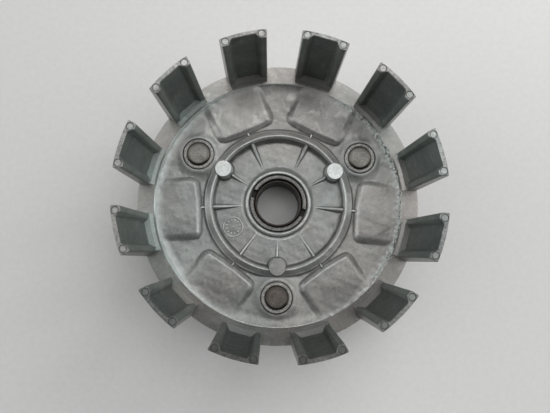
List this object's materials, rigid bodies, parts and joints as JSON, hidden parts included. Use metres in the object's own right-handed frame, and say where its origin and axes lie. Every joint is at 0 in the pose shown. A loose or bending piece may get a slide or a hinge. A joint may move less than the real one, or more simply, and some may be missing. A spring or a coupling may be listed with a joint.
{
  "type": "clutch basket",
  "caption": "Open aluminium clutch basket with upright slotted fingers, riveted to a spring-damped steel driven gear with a bushed centre hub.",
  "frame": {"origin": "on the bore axis at the rear end of the gear hub, the face it stands on", "axes": "+Z along the bore towards the finger tips, +X through the middle of a finger slot"},
  "size_m": [0.14, 0.14, 0.062],
  "materials": {
    "cast_aluminium": "satin",
    "gear_steel": "satin",
    "hub_steel": "satin",
    "bush_steel": "satin",
    "plate_steel": "satin",
    "rivet_steel": "satin",
    "collar_steel": "satin",
    "spring_steel": "satin"
  },
  "bodies": {
    "driven_gear": {"primary_gear": "gear_steel", "gear_hub": "hub_steel", "hub_bush": "bush_steel"},
    "basket": {"basket": "cast_aluminium", "back_plate": "plate_steel", "friction_washer": "spring_steel", "damper_spring_1": "spring_steel", "damper_spring_2": "spring_steel", "damper_spring_3": "spring_steel", "damper_spring_4": "spring_steel", "damper_spring_5": "spring_steel", "damper_spring_6": "spring_steel", "rivet_1": "rivet_steel", "rivet_2": "rivet_steel", "rivet_3": "rivet_steel", "rivet_collar_1": "collar_steel", "rivet_collar_2": "collar_steel", "rivet_collar_3": "collar_steel"}
  },
  "joints": [
    {"name": "damper_twist", "type": "hinge", "parent": "driven_gear", "child": "basket", "pos_m": [0, 0, 0.0105], "axis": [0, 0, 1], "range_deg": [-5, 5], "stiffness_Nm_per_rad": 690, "deforming": ["damper_spring_1", "damper_spring_2", "damper_spring_3", "damper_spring_4", "damper_spring_5", "damper_spring_6"]}
  ]
}
